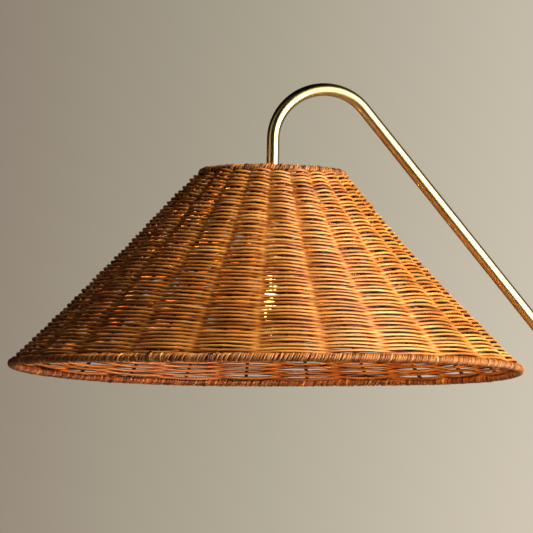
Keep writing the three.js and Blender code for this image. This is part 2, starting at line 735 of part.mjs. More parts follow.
// Plain weave in broad bands: a band passes outside one stake and inside the next, and the band below
// it the other way round. Slots part the bands, which hold together where they cross between stakes.
function wovenWall() {
  const acrossShares = [closedShare, 0.5, 1 - closedShare];
  const columns = stakeCount * acrossShares.length;
  const positions = [];
  const triangles = [];
  bandShares.forEach((edges, band) => {
    for (const share of edges) {
      const halfBay = (wallPoint(share, 0).x * Math.PI * (1 - 2 * closedShare)) / stakeCount;
      const crest = weaverLift / Math.sqrt(1 - (weaverLift / halfBay) ** 2);
      for (let column = 0; column < columns; column++) {
        const cell = Math.floor(column / acrossShares.length);
        const across = acrossShares[column % acrossShares.length];
        const side = (band + cell) % 2 ? -1 : 1;
        const lift = across === 0.5 ? side * crest : 0;
        const turn = new THREE.Euler(0, 0, ((cell + across) * 2 * Math.PI) / stakeCount);
        for (const offset of [lift + weaverRadius, lift - weaverRadius]) {
          positions.push(...wallPoint(share, offset).applyEuler(turn));
        }
      }
    }
  });
  const outer = (row, column) => (row * columns + (column % columns)) * 2;
  const inner = (row, column) => outer(row, column) + 1;
  const quad = (a, b, c, d) => triangles.push(a, b, c, a, c, d);
  const lastRow = 2 * bandRows - 1;
  for (let row = 0; row <= lastRow; row++) {
    for (let column = 0; column < columns; column++) {
      const next = column + 1;
      const crossing = column % acrossShares.length === acrossShares.length - 1;
      const topEdge = row % 2 === 0;
      if (row < lastRow && (topEdge || crossing)) {
        quad(outer(row, column), outer(row + 1, column), outer(row + 1, next), outer(row, next));
        quad(inner(row, column), inner(row, next), inner(row + 1, next), inner(row + 1, column));
      }
      if (topEdge && (row === 0 || !crossing)) {
        quad(outer(row, column), outer(row, next), inner(row, next), inner(row, column));
      }
      if (!topEdge && (row === lastRow || !crossing)) {
        quad(outer(row, column), inner(row, column), inner(row, next), outer(row, next));
      }
      if (!topEdge && crossing && row < lastRow) {
        quad(outer(row, column), inner(row, column), inner(row + 1, column), outer(row + 1, column));
        quad(outer(row, next), outer(row + 1, next), inner(row + 1, next), inner(row, next));
      }
    }
  }
  const geometry = new THREE.BufferGeometry();
  geometry.setAttribute("position", new THREE.Float32BufferAttribute(positions, 3));
  geometry.setIndex(triangles);
  return rattan("woven_wall", geometry);
}

// The upright stakes, each bowed as the wall is and ending at the two borders.
function stakes() {
  const stations = wallShares.map((share) => {
    const point = wallPoint(share, 0);
    const outward = wallPoint(share, 1).sub(point);
    return { point, direction: new THREE.Vector3(outward.z, 0, -outward.x) };
  });
  const outline = new THREE.Shape(polygon(stakeRadius, wireFacets));
  return Array.from({ length: stakeCount }, (_, index) => {
    const number = String(index + 1).padStart(2, "0");
    const stake = piece("stake_" + number, swept(outline, stations), "#a8662a", 0.65, 0);
    stake.rotation.z = ((index + 0.5) * 2 * Math.PI) / stakeCount;
    return stake;
  });
}

// A border: the hoop that the stakes end at, wrapped to a round roll.
function borderRoll(name, circle, rollRadius, facets, height) {
  const section = polygon(rollRadius, rollFacets).map(
    (point) => new THREE.Vector2(circle / 2 + point.x, point.y),
  );
  return rattan(name, turned(section, facets), height);
}

function shade() {
  const group = new THREE.Group();
  group.position.z = shadeTop;
  group.rotation.z = THREE.MathUtils.degToRad(shadeTurnDegrees);
  group.add(
    borderRoll("top_border", topRollCircle, topRollRadius, topRollFacets, 0),
    borderRoll("rim_border", rimRollCircle, rimRollRadius, rimRollFacets, -shadeHeight),
    wovenWall(),
    ...stakes(),
  );
  return group;
}

function head() {
  const group = new THREE.Group();
  group.position.set(-shadeReach, 0, dropEndHeight);
  group.add(
    seatRing(),
    shadeFitter(),
    ...headFastening(),
    socketCap(),
    socketShell(),
    socketLiner(),
    socketBody(),
    screwShell(),
    centreContact(),
    ...switchParts(),
    bulbContact(),
    bulbInsulator(),
    bulbCap(),
    bulbGlass(),
    bulbStem(),
    bulbFilament(),
    shade(),
  );
  return group;
}

const lamp = new THREE.Group();
lamp.add(
  floorPad(),
  baseWeight(),
  baseCover(),
  cordGland(),
  ...baseFastening(),
  poleCollar(),
  straightTube("pole_lower_tube", poleFootHeight, poleJointHeight),
  jointNipple("pole_nipple", poleJointHeight),
  straightTube("pole_upper_tube", poleJointHeight + fitGap, armJointHeight),
  jointNipple("arm_nipple", armJointHeight),
  armTube(),
  head(),
);

export default lamp;
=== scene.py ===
# Rattan floor lamp: a bent brass tube on a round weighted base carries a lit bulb under a flared shade of
# round reed woven about upright stakes. Metres, +Z up, the origin on the floor under the pole.
import math

import bmesh
import bpy
import numpy as np
from mathutils import Matrix, Vector


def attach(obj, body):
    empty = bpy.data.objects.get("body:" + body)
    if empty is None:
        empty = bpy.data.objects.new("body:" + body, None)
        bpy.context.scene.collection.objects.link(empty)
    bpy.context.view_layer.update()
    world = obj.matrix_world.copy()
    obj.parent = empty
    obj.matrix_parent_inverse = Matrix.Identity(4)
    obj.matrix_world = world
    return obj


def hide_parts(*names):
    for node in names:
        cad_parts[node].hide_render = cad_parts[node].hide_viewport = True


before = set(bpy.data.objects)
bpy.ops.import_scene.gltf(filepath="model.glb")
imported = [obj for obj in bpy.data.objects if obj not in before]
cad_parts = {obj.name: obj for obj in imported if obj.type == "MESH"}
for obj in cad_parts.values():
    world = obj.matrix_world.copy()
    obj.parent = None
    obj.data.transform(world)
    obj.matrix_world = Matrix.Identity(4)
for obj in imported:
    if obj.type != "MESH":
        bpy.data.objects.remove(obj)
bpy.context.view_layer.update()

mm = 0.001

# ---------------------------------------------------------------------------------------------------------
# Pole and arm: three lengths of drawn brass tube, the top one bent cold over a knee and a hook. Satin
# polished and lacquered, so light runs along it in a clean bright line between gold and dark ones.

tube_radius = 6.35 * mm
tube_bore = 5.15 * mm
tube_facets = 48
tube_chamfer = 0.35 * mm
square_corner = 1.0
degrees_per_step = 4
pole_foot = Vector((0, 0, 22.3 * mm))
pole_joint = Vector((0, 0, 560 * mm))
arm_joint = Vector((0, 0, 1079.8 * mm))
joint_gap = Vector((0, 0, 0.3 * mm))
knee_radius = 100 * mm
hook_radius = 50.8 * mm
arm_lean = math.radians(39.4)
hook_centre = Vector((-299.2 * mm, 0, 1482.85 * mm))
drop_length = 44.5 * mm
metal_patch = 45 * mm
smooth_below = 35


def linear(colour):
    """A colour written as sRGB hex, in linear light."""
    shares = [int(colour[at:at + 2], 16) / 255 for at in (1, 3, 5)]
    return (*[s / 12.92 if s <= 0.04045 else ((s + 0.055) / 1.055) ** 2.4 for s in shares], 1)


def add_node(tree, kind, inputs=None, stops=None, **settings):
    """A shader node with its settings; inputs are values, or sockets to link."""
    node = tree.nodes.new("ShaderNode" + kind)
    for name, value in settings.items():
        setattr(node, name, value)
    for name, value in (inputs or {}).items():
        if isinstance(value, bpy.types.NodeSocket):
            tree.links.new(value, node.inputs[name])
        else:
            node.inputs[name].default_value = value
    if stops:
        places = node.color_ramp.elements
        while len(places) < len(stops):
            places.new(1)
        for place, (position, colour) in zip(places, stops):
            place.position = position
            place.color = linear(colour) if isinstance(colour, str) else (colour, colour, colour, 1)
    return node


def new_material(name):
    """An empty node material, with its tree and its output node."""
    material = bpy.data.materials.new(name)
    material.use_nodes = True
    material.node_tree.nodes.clear()
    return material, material.node_tree, add_node(material.node_tree, "OutputMaterial")


def metal(name, dark, light, rough, uneven, grain_mm, relief_mm, spread=0):
    """A metal whose tint and polish vary a little over the surface, with a fine tooled grain. Where it was
    polished across polish_way, its highlights spread that way."""
    material, tree, output = new_material(name)
    place = add_node(tree, "TexCoord").outputs["Object"]
    patches = add_node(tree, "TexNoise", {"Vector": place, "Scale": 1 / metal_patch, "Detail": 3})
    grain = add_node(tree, "TexNoise", {"Vector": place, "Scale": 1 / (grain_mm * mm), "Detail": 2})
    tint = add_node(tree, "ValToRGB", {"Fac": patches.outputs["Fac"]}, stops=[(0.3, dark), (0.7, light)])
    polish = add_node(tree, "MapRange", {
        "Value": patches.outputs["Fac"], "From Min": 0.3, "From Max": 0.7,
        "To Min": rough - uneven, "To Max": rough + uneven,
    })
    relief = add_node(tree, "Bump", {
        "Height": grain.outputs["Fac"], "Strength": 0.3, "Distance": relief_mm * mm,
    })
    surface = add_node(tree, "BsdfPrincipled", {
        "Base Color": tint.outputs["Color"], "Metallic": 1, "Roughness": polish.outputs["Result"],
        "Normal": relief.outputs["Normal"], "Anisotropic": spread,
    })
    if spread:
        way = add_node(tree, "Attribute", attribute_name="polish_way")
        tree.links.new(way.outputs["Vector"], surface.inputs["Tangent"])
    tree.links.new(surface.outputs["BSDF"], output.inputs["Surface"])
    return material


def mark_polish(piece, way):
    """Gives each point of a piece the way that its highlights spread; way turns its places into that."""
    places = np.zeros(len(piece.data.vertices) * 3)
    piece.data.vertices.foreach_get("co", places)
    ways = np.ascontiguousarray(np.broadcast_to(way(places.reshape(-1, 3)), (len(piece.data.vertices), 3)))
    piece.data.attributes.new("polish_way", "FLOAT_VECTOR", "POINT").data.foreach_set("vector", ways.ravel())


def as_object(shape, name, material):
    """Turns a finished bmesh into a smooth-shaded object; corners past smooth_below degrees stay sharp."""
    bmesh.ops.recalc_face_normals(shape, faces=shape.faces)
    mesh = bpy.data.meshes.new(name)
    shape.to_mesh(mesh)
    shape.free()
    mesh.shade_smooth()
    mesh.set_sharp_from_angle(angle=math.radians(smooth_below))
    mesh.materials.append(material)
    made = bpy.data.objects.new(name, mesh)
    bpy.context.scene.collection.objects.link(made)
    return made


def tube_start(foot):
    """The flat ring that a tube is drawn from."""
    shape = bmesh.new()
    upright = Matrix.Translation(foot)
    for radius in (tube_bore, tube_radius):
        bmesh.ops.create_circle(shape, segments=tube_facets, radius=radius, matrix=upright)
    bmesh.ops.bridge_loops(shape, edges=shape.edges)
    return shape


def drawn_on(shape, end, move=None, bend=None):
    """Draws the tube on from its end faces, straight by move or round a bend's centre by its angle."""
    if move is not None:
        made = bmesh.ops.extrude_face_region(shape, geom=end)["geom"]
        points = [part for part in made if isinstance(part, bmesh.types.BMVert)]
        bmesh.ops.translate(shape, verts=points, vec=move)
    else:
        centre, angle = bend
        steps = math.ceil(math.degrees(angle) / degrees_per_step)
        made = bmesh.ops.spin(
            shape, geom=end, cent=centre, axis=(0, -1, 0), angle=angle, steps=steps, dvec=(0, 0, 0)
        )["geom_last"]
    return [part for part in made if isinstance(part, bmesh.types.BMFace)]


def chamfered(shape):
    """Takes the sharp edge off both ends of the tube; square_corner is in radians."""
    corners = [e for e in shape.edges if len(e.link_faces) == 2 and e.calc_face_angle() > square_corner]
    bmesh.ops.bevel(shape, geom=corners, offset=tube_chamfer, segments=2, profile=0.5, affect="EDGES",
                    material=-1)


satin_brass = metal("satin brass, lacquered", "#bfaa77", "#d1bd8d", 0.3, 0.015, 0.9, 0.001, 1.0)

for name, node, foot, top in (
    ("lower_pole", "pole_lower_tube", pole_foot, pole_joint),
    ("upper_pole", "pole_upper_tube", pole_joint + joint_gap, arm_joint),
):
    shape = tube_start(foot)
    drawn_on(shape, shape.faces[:], move=top - foot)
    chamfered(shape)
    pole = as_object(shape, name, satin_brass)
    mark_polish(pole, lambda places: np.array([0.0, 0.0, 1.0]))
    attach(pole, "stand")
    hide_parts(node)

slope = Vector((-math.sin(arm_lean), 0, math.cos(arm_lean)))
square_off = Vector((math.cos(arm_lean), 0, math.sin(arm_lean)))
knee_start_x = -knee_radius
slope_end = hook_centre + hook_radius * square_off
knee_end_x = knee_start_x + knee_radius * square_off.x
slope_length = (knee_end_x - slope_end.x) / math.sin(arm_lean)
knee_end = slope_end - slope * slope_length
knee_centre = knee_end - knee_radius * square_off
arm_foot = arm_joint + joint_gap
shape = tube_start(arm_foot)
end = drawn_on(shape, shape.faces[:], move=Vector((0, 0, knee_centre.z - arm_foot.z)))
end = drawn_on(shape, end, bend=(knee_centre, arm_lean))
end = drawn_on(shape, end, move=slope * slope_length)
end = drawn_on(shape, end, bend=(hook_centre, math.pi - arm_lean))
drawn_on(shape, end, move=Vector((0, 0, -drop_length)))
chamfered(shape)
arm = as_object(shape, "bent_arm", satin_brass)


def along_arm(places):
    """The way that the bent arm runs at each place."""
    lean = np.zeros(len(places))
    knee = np.arctan2(places[:, 2] - knee_centre.z, places[:, 0] - knee_centre.x)
    lean = np.where(places[:, 2] > knee_centre.z, np.clip(knee, 0, arm_lean), lean)
    hook = np.arctan2(places[:, 2] - hook_centre.z, places[:, 0] - hook_centre.x)
    on_hook = (places[:, 0] < slope_end.x) & (places[:, 2] > hook_centre.z) & (hook > arm_lean)
    lean = np.where(on_hook, hook, lean)
    lean = np.where((places[:, 0] < hook_centre.x) & (places[:, 2] <= hook_centre.z), math.pi, lean)
    return np.stack([-np.sin(lean), 0 * lean, np.cos(lean)], 1)


mark_polish(arm, along_arm)
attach(arm, "stand")
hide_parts("arm_tube")

# ---------------------------------------------------------------------------------------------------------
# Base: a brass disc spun over a cast iron weight, with a turned collar at the foot of the pole and a felt
# pad below. The cover has the tube's satin lacquer; the collar is polished brighter on the lathe.

cover_radius = 145 * mm
cover_sheet = 1.2 * mm
cover_foot = 2.3 * mm
cover_corner = 6 * mm
cover_corner_height = 13.5 * mm
cover_bend_radius = 60 * mm
cover_bend_height = 21.1 * mm
cover_bore = 5.5 * mm
cover_top = 22 * mm
cover_facets = 160
collar_radius = 19 * mm
collar_bore = 6.65 * mm
collar_foot = 22.3 * mm
collar_flange = 25.3 * mm
collar_sweep = 9 * mm
collar_neck = 9.5 * mm
collar_top = 38.3 * mm
collar_edge = 0.5 * mm
collar_facets = 64
weld_distance = 0.001 * mm
polish_rise = 10 * mm


def arc(centre_radius, centre_height, radius, start, stop, steps):
    """Points of a rounded corner in an outline of (radius, height), its angles in degrees."""
    angles = np.radians(np.linspace(start, stop, steps + 1))
    return [(centre_radius + radius * math.cos(a), centre_height + radius * math.sin(a)) for a in angles]


def turned_on_lathe(name, outline, facets, material, axis=(0, 0, 0)):
    """Spins an outline of (radius, height) about an upright axis; it closes on itself off the axis. Its
    highlights spread outwards, and a little upwards by polish_rise."""
    shape = bmesh.new()
    points = [shape.verts.new((radius, 0, height)) for radius, height in outline]
    pairs = list(zip(points, points[1:]))
    if outline[0][0] > 0:
        pairs.append((points[-1], points[0]))
    edges = [shape.edges.new(pair) for pair in pairs]
    bmesh.ops.spin(shape, geom=points + edges, cent=(0, 0, 0), axis=(0, 0, 1), angle=2 * math.pi,
                   steps=facets, use_merge=True, dvec=(0, 0, 0))
    bmesh.ops.remove_doubles(shape, verts=shape.verts, dist=weld_distance)
    bmesh.ops.translate(shape, verts=shape.verts, vec=axis)
    turned = as_object(shape, name, material)
    mark_polish(turned, lambda places: (places - np.array(axis)) * (1, 1, 0) + (0, 0, polish_rise))
    return turned


cover_outline = [
    (cover_radius - cover_sheet, cover_foot),
    (cover_radius, cover_foot),
    *arc(cover_radius - cover_corner, cover_corner_height, cover_corner, 0, 88, 8),
    (cover_bend_radius, cover_bend_height),
    (cover_bore, cover_top),
    (cover_bore, cover_top - cover_sheet),
    (cover_bend_radius, cover_bend_height - cover_sheet),
    *reversed(arc(cover_radius - cover_corner, cover_corner_height, cover_corner - cover_sheet, 0, 88, 8)),
]
cover = turned_on_lathe("spun_base_cover", cover_outline, cover_facets, satin_brass)
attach(cover, "stand")
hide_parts("base_cover")

turned_brass = metal("turned brass, polished", "#cdb67e", "#dfca96", 0.22, 0.02, 0.5, 0.006, 0.8)
collar_outline = [
    (collar_bore, collar_foot),
    (collar_radius, collar_foot),
    *arc(collar_radius - collar_edge, collar_flange - collar_edge, collar_edge, 0, 90, 3),
    *reversed(arc(collar_radius - collar_edge, collar_flange + collar_sweep, collar_sweep, 180, 270, 10)),
    *arc(collar_neck - collar_edge, collar_top - collar_edge, collar_edge, 0, 90, 3),
    (collar_bore, collar_top),
]
collar = turned_on_lathe("turned_collar", collar_outline, collar_facets, turned_brass)
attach(collar, "stand")
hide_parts("pole_collar")

felt, tree, output = new_material("pressed wool felt")
place = add_node(tree, "TexCoord").outputs["Object"]
fibres = add_node(tree, "TexNoise", {"Vector": place, "Scale": 1 / (1.2 * mm), "Detail": 6})
shade_of_felt = add_node(tree, "ValToRGB", {"Fac": fibres.outputs["Fac"]},
                         stops=[(0.3, "#201f1e"), (0.7, "#383634")])
nap = add_node(tree, "Bump", {"Height": fibres.outputs["Fac"], "Strength": 0.8, "Distance": 0.4 * mm})
surface = add_node(tree, "BsdfPrincipled", {
    "Base Color": shade_of_felt.outputs["Color"], "Roughness": 0.95, "Sheen Weight": 0.4,
    "Normal": nap.outputs["Normal"],
})
tree.links.new(surface.outputs["BSDF"], output.inputs["Surface"])
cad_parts["floor_pad"].material_slots[0].material = felt

cast_iron = metal("cast iron, painted", "#333335", "#434346", 0.6, 0.08, 2.5, 0.25)
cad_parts["base_weight"].material_slots[0].material = cast_iron

# ---------------------------------------------------------------------------------------------------------
# Fastenings: washers, nuts and threaded nipples of zinc plated steel inside the base, the pole's joints
# and the head. The plating is bright with a faint yellow-grey bloom.

cad_weld_distance = 0.002 * mm
flat_angle = math.radians(1)
eased_corner = 0.6
nut_easing = 0.25 * mm

zinc_plate = metal("zinc plated steel", "#9d9d99", "#b4b3ac", 0.34, 0.05, 0.6, 0.01)


def eased(name, nodes, material, width):
    """A copy of CAD pieces, welded, its flat facets joined and its edges eased by width, where they turn
    by more than eased_corner, in radians."""
    shape = bmesh.new()
    for node in nodes:
        shape.from_mesh(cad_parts[node].data)
    bmesh.ops.remove_doubles(shape, verts=shape.verts, dist=cad_weld_distance)
    bmesh.ops.dissolve_limit(shape, angle_limit=flat_angle, verts=shape.verts, edges=shape.edges)
    corners = [e for e in shape.edges if len(e.link_faces) == 2 and e.calc_face_angle() > eased_corner]
    bmesh.ops.bevel(shape, geom=corners, offset=width, segments=2, profile=0.5, affect="EDGES",
                    material=-1, clamp_overlap=True)
    bmesh.ops.triangulate(shape, faces=[face for face in shape.faces if len(face.verts) > 4])
    return as_object(shape, name, material)


for node in ("base_washer", "base_nut", "base_nipple", "pole_nipple", "arm_nipple", "head_nipple"):
    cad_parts[node].material_slots[0].material = zinc_plate
fastening = eased("head_fastening", ["head_washer", "head_nut"], zinc_plate, nut_easing)
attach(fastening, "stand")
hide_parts("head_washer", "head_nut")

# ---------------------------------------------------------------------------------------------------------
# Switch and gland: black moulded plastic, a paddle knob on a steel stem and the outlet for the lead in the
# rear of the base. Matt from a sparked mould, a little shiny where fingers turn it.

knob_easing = 0.6 * mm
gland_easing = 0.3 * mm

black_plastic, tree, output = new_material("moulded plastic, black")
place = add_node(tree, "TexCoord").outputs["Object"]
sparked = add_node(tree, "TexNoise", {"Vector": place, "Scale": 1 / (0.5 * mm), "Detail": 4})
handled = add_node(tree, "TexNoise", {"Vector": place, "Scale": 1 / (12 * mm), "Detail": 2})
tone = add_node(tree, "ValToRGB", {"Fac": sparked.outputs["Fac"]},
                stops=[(0.3, "#191817"), (0.7, "#23211f")])
shine = add_node(tree, "MapRange", {
    "Value": handled.outputs["Fac"], "From Min": 0.3, "From Max": 0.7, "To Min": 0.32, "To Max": 0.5,
})
pits = add_node(tree, "Bump", {"Height": sparked.outputs["Fac"], "Strength": 0.4, "Distance": 0.05 * mm})
surface = add_node(tree, "BsdfPrincipled", {
    "Base Color": tone.outputs["Color"], "Roughness": shine.outputs["Result"], "IOR": 1.49,
    "Normal": pits.outputs["Normal"],
})
tree.links.new(surface.outputs["BSDF"], output.inputs["Surface"])

knob = eased("paddle_knob", ["switch_knob"], black_plastic, knob_easing)
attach(knob, "switch")
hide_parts("switch_knob")
gland = eased("lead_gland", ["cord_gland"], black_plastic, gland_easing)
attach(gland, "stand")
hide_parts("cord_gland")
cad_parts["socket_body"].material_slots[0].material = black_plastic
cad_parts["switch_stem"].material_slots[0].material = zinc_plate

# ---------------------------------------------------------------------------------------------------------
# Seat ring and socket: a turned ring under the end of the tube, then a pressed brass cap and shell over a
# fibre liner. The shell's mouth has a rolled bead, and two beads are rolled round its middle.

head = Vector((-350 * mm, 0, 1438.35 * mm))
nipple_bore = 5.1 * mm
seat_radius = 12 * mm
seat_foot = -3.3 * mm
seat_top = -0.3 * mm
seat_lower_edge = 0.8 * mm
seat_upper_edge = 1 * mm
seat_outline = [
    (nipple_bore, seat_foot),
    *arc(seat_radius - seat_lower_edge, seat_foot + seat_lower_edge, seat_lower_edge, -90, 0, 4),
    *arc(seat_radius - seat_upper_edge, seat_top - seat_upper_edge, seat_upper_edge, 0, 90, 5),
    (nipple_bore, seat_top),
]
seat = turned_on_lathe("turned_seat_ring", seat_outline, collar_facets, turned_brass, head)
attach(seat, "stand")
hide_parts("seat_ring")

cap_outer = 16.9 * mm
cap_inner = 16.2 * mm
cap_foot = -36.7 * mm
cap_top = -11.7 * mm
cap_edge = 0.5 * mm
dome_radius = 7.5 * mm
dome_height = -28.1 * mm
dome_hollow = cap_inner - dome_radius
cap_outline = [
    (cap_outer, cap_foot),
    *arc(dome_radius, dome_height, cap_outer - dome_radius, 0, 90, 10),
    *arc(dome_radius, cap_top - cap_edge, cap_edge, 0, 90, 2),
    (nipple_bore, cap_top),
    (nipple_bore, dome_height + dome_hollow),
    *reversed(arc(dome_radius, dome_height, dome_hollow, 0, 90, 10)),
    (cap_inner, cap_foot),
]
cap = turned_on_lathe("domed_socket_cap", cap_outline, collar_facets, satin_brass, head)
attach(cap, "stand")
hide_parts("socket_cap")

shell_outer = 15.9 * mm
shell_inner = 15.2 * mm
shell_foot = -81 * mm
shell_top = -31 * mm
mouth_bead = 0.8 * mm
middle_bead = 0.5 * mm
middle_bead_heights = (-61 * mm, -57.5 * mm)
bead_margin = 1 * mm
shell_outline = [
    (shell_inner, shell_foot),
    *arc(shell_outer, shell_foot + mouth_bead, mouth_bead, -90, 90, 8),
]
for height in middle_bead_heights:
    shell_outline.append((shell_outer, height - bead_margin))
    shell_outline += arc(shell_outer, height, middle_bead, -90, 90, 4)
shell_outline += [(shell_outer, shell_top), (shell_inner, shell_top)]
shell = turned_on_lathe("beaded_socket_shell", shell_outline, collar_facets, satin_brass, head)
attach(shell, "stand")
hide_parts("socket_shell")

fibre, tree, output = new_material("pressed fibre board")
place = add_node(tree, "TexCoord").outputs["Object"]
flecks = add_node(tree, "TexNoise", {"Vector": place, "Scale": 1 / (0.8 * mm), "Detail": 5})
tone = add_node(tree, "ValToRGB", {"Fac": flecks.outputs["Fac"]}, stops=[(0.3, "#40301f"), (0.7, "#5c4934")])
surface = add_node(tree, "BsdfPrincipled", {"Base Color": tone.outputs["Color"], "Roughness": 0.9})
tree.links.new(surface.outputs["BSDF"], output.inputs["Surface"])
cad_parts["socket_liner"].material_slots[0].material = fibre

plated_sheet = metal("nickel plated brass sheet", "#c6c0ae", "#d8d3c4", 0.2, 0.04, 0.5, 0.01)
for node in ("screw_shell", "bulb_cap"):
    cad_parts[node].material_slots[0].material = plated_sheet
sheet_brass = metal("brass sheet, stamped", "#cfa85f", "#e0bc78", 0.25, 0.04, 0.5, 0.01)
for node in ("centre_contact", "bulb_contact"):
    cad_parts[node].material_slots[0].material = sheet_brass

# ---------------------------------------------------------------------------------------------------------
# Shade carrier: a steel hoop lashed inside the shade's top border, three bent spokes and the plate that
# the nut clamps. Zinc plated, with the spokes welded under the plate.

hoop_radius = 64.6 * mm
carrier_wire = 1.6 * mm
plate_top = -3.6 * mm
plate_radius = 17 * mm
plate_thickness = 2 * mm
plate_edge = 0.6 * mm
hoop_height = plate_top - carrier_wire + 14 * mm
hoop_points = 96
spoke_count = 3
spoke_run = [
    (13 * mm, plate_top - carrier_wire),
    (20 * mm, plate_top - carrier_wire),
    (24 * mm, plate_top - 0.6 * mm),
    (58 * mm, hoop_height - 2.2 * mm),
    (61.5 * mm, hoop_height - 0.8 * mm),
    (hoop_radius, hoop_height),
]


def wire_along(curve, points, thickness=1.0, closed=False):
    """Adds one wire or reed to a curve, through points in metres; thickness scales its radius."""
    run = curve.splines.new("POLY")
    run.points.add(len(points) - 1)
    places = np.ones((len(points), 4))
    places[:, :3] = points
    run.points.foreach_set("co", places.ravel())
    run.points.foreach_set("radius", np.broadcast_to(thickness, len(points)).astype(float))
    run.use_cyclic_u = closed
    run.use_smooth = True


def new_curve(name, radius, ring_steps, upright=False):
    """A curve whose runs are round, with 4 + 2 * ring_steps sides."""
    curve = bpy.data.curves.new(name, "CURVE")
    curve.dimensions = "3D"
    curve.bevel_depth = radius
    curve.bevel_resolution = ring_steps
    curve.use_fill_caps = True
    curve.twist_mode = "Z_UP" if upright else "MINIMUM"
    return curve


def curve_as_object(curve, name, material):
    """Turns a curve into a mesh object."""
    drawn = bpy.data.objects.new(name, curve)
    mesh = bpy.data.meshes.new_from_object(drawn)
    bpy.data.objects.remove(drawn)
    bpy.data.curves.remove(curve)
    mesh.name = name
    mesh.materials.clear()
    mesh.materials.append(material)
    made = bpy.data.objects.new(name, mesh)
    bpy.context.scene.collection.objects.link(made)
    return made


carrier = new_curve("carrier", carrier_wire, 3)
around = np.linspace(0, 2 * math.pi, hoop_points, endpoint=False)
hoop = np.stack([hoop_radius * np.cos(around), hoop_radius * np.sin(around), 0 * around + hoop_height], 1)
wire_along(carrier, hoop + np.array(head), closed=True)
for spoke in range(spoke_count):
    angle = (spoke + 0.5) * 2 * math.pi / spoke_count
    points = [(radius * math.cos(angle), radius * math.sin(angle), height) for radius, height in spoke_run]
    wire_along(carrier, np.array(points) + np.array(head))
carrier_wires = curve_as_object(carrier, "carrier_wires", zinc_plate)
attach(carrier_wires, "stand")
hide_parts("shade_fitter")
plate_outline = [
    (nipple_bore, plate_top - plate_thickness),
    *arc(plate_radius - plate_edge, plate_top - plate_thickness + plate_edge, plate_edge, -90, 0, 3),
    *arc(plate_radius - plate_edge, plate_top - plate_edge, plate_edge, 0, 90, 3),
    (nipple_bore, plate_top),
]
plate = turned_on_lathe("carrier_plate", plate_outline, collar_facets, zinc_plate, head)
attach(plate, "stand")

# ---------------------------------------------------------------------------------------------------------
# Bulb: a tubular glass with four upright glowing rods on a glass mount, in a plated screw cap. Clear soda
# glass, blown thin, so it shows as two bright edges round the warm light.

bulb_facets = 64
glass_radius = 16 * mm
glass_wall = 0.9 * mm
glass_foot = -159.1 * mm
dome = (0, glass_foot + glass_radius)
shoulder_bend = 10 * mm
shoulder = (glass_radius - shoulder_bend, -89 * mm)
neck_radius = 11.5 * mm
neck_bend = 4 * mm
neck = (neck_radius + neck_bend, -76.5 * mm)
neck_top = -71.1 * mm
filament_foot = -138.1 * mm
filament_length = 47 * mm
filament_circle = 4.5 * mm
rod_radius = 1.3 * mm
wire_radius = 0.45 * mm
rod_count = 4
rod_end = 2 * mm
wire_end = 2.5 * mm
wires_below = 1.5 * mm
wires_above = 0.5 * mm


def clear_glass(name, colour, rough):
    """Clear glass with faint waves, which lets lamps through to what it covers."""
    material, tree, output = new_material(name)
    place = add_node(tree, "TexCoord").outputs["Object"]
    waves = add_node(tree, "TexNoise", {"Vector": place, "Scale": 1 / (14 * mm), "Detail": 1})
    relief = add_node(tree, "Bump", {"Height": waves.outputs["Fac"], "Strength": 0.2, "Distance": 0.2 * mm})
    body = add_node(tree, "BsdfPrincipled", {
        "Base Color": linear(colour), "Roughness": rough, "Transmission Weight": 1, "IOR": 1.5,
        "Normal": relief.outputs["Normal"],
    })
    passing = add_node(tree, "BsdfTransparent", {"Color": linear(colour)})
    rays = add_node(tree, "LightPath")
    mixed = add_node(tree, "MixShader", {0: rays.outputs["Is Shadow Ray"], 1: body.outputs["BSDF"],
                                         2: passing.outputs["BSDF"]})
    tree.links.new(mixed.outputs["Shader"], output.inputs["Surface"])
    return material


blown_glass = clear_glass("clear glass, blown", "#fbf6ea", 0.0)
glass_outline = [
    (0, glass_foot),
    *arc(*dome, glass_radius, -82, 0, 10),
    *arc(*shoulder, shoulder_bend, 0, 60, 6),
    *reversed(arc(*neck, neck_bend, 180, 240, 4)),
    (neck_radius, neck_top),
    (neck_radius - glass_wall, neck_top),
    *arc(*neck, neck_bend + glass_wall, 180, 240, 4),
    *reversed(arc(*shoulder, shoulder_bend - glass_wall, 0, 60, 6)),
    *reversed(arc(*dome, glass_radius - glass_wall, -82, 0, 10)),
    (0, glass_foot + glass_wall),
]
envelope = turned_on_lathe("bulb_envelope", glass_outline, bulb_facets, blown_glass, head)
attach(envelope, "stand")
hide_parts("bulb_glass")
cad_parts["bulb_stem"].material_slots[0].material = clear_glass("clear glass, pressed", "#f4f0e6", 0.08)

glowing, tree, output = new_material("phosphor coated rod, lit")
place = add_node(tree, "TexCoord").outputs["Object"]
beads = add_node(tree, "TexNoise", {"Vector": place, "Scale": 1 / (1.6 * mm), "Detail": 1})
tone = add_node(tree, "ValToRGB", {"Fac": beads.outputs["Fac"]}, stops=[(0.3, "#ffb04e"), (0.7, "#ffd08a")])
surface = add_node(tree, "BsdfPrincipled", {
    "Base Color": tone.outputs["Color"], "Roughness": 0.6, "Emission Color": tone.outputs["Color"],
    "Emission Strength": 9,
})
tree.links.new(surface.outputs["BSDF"], output.inputs["Surface"])

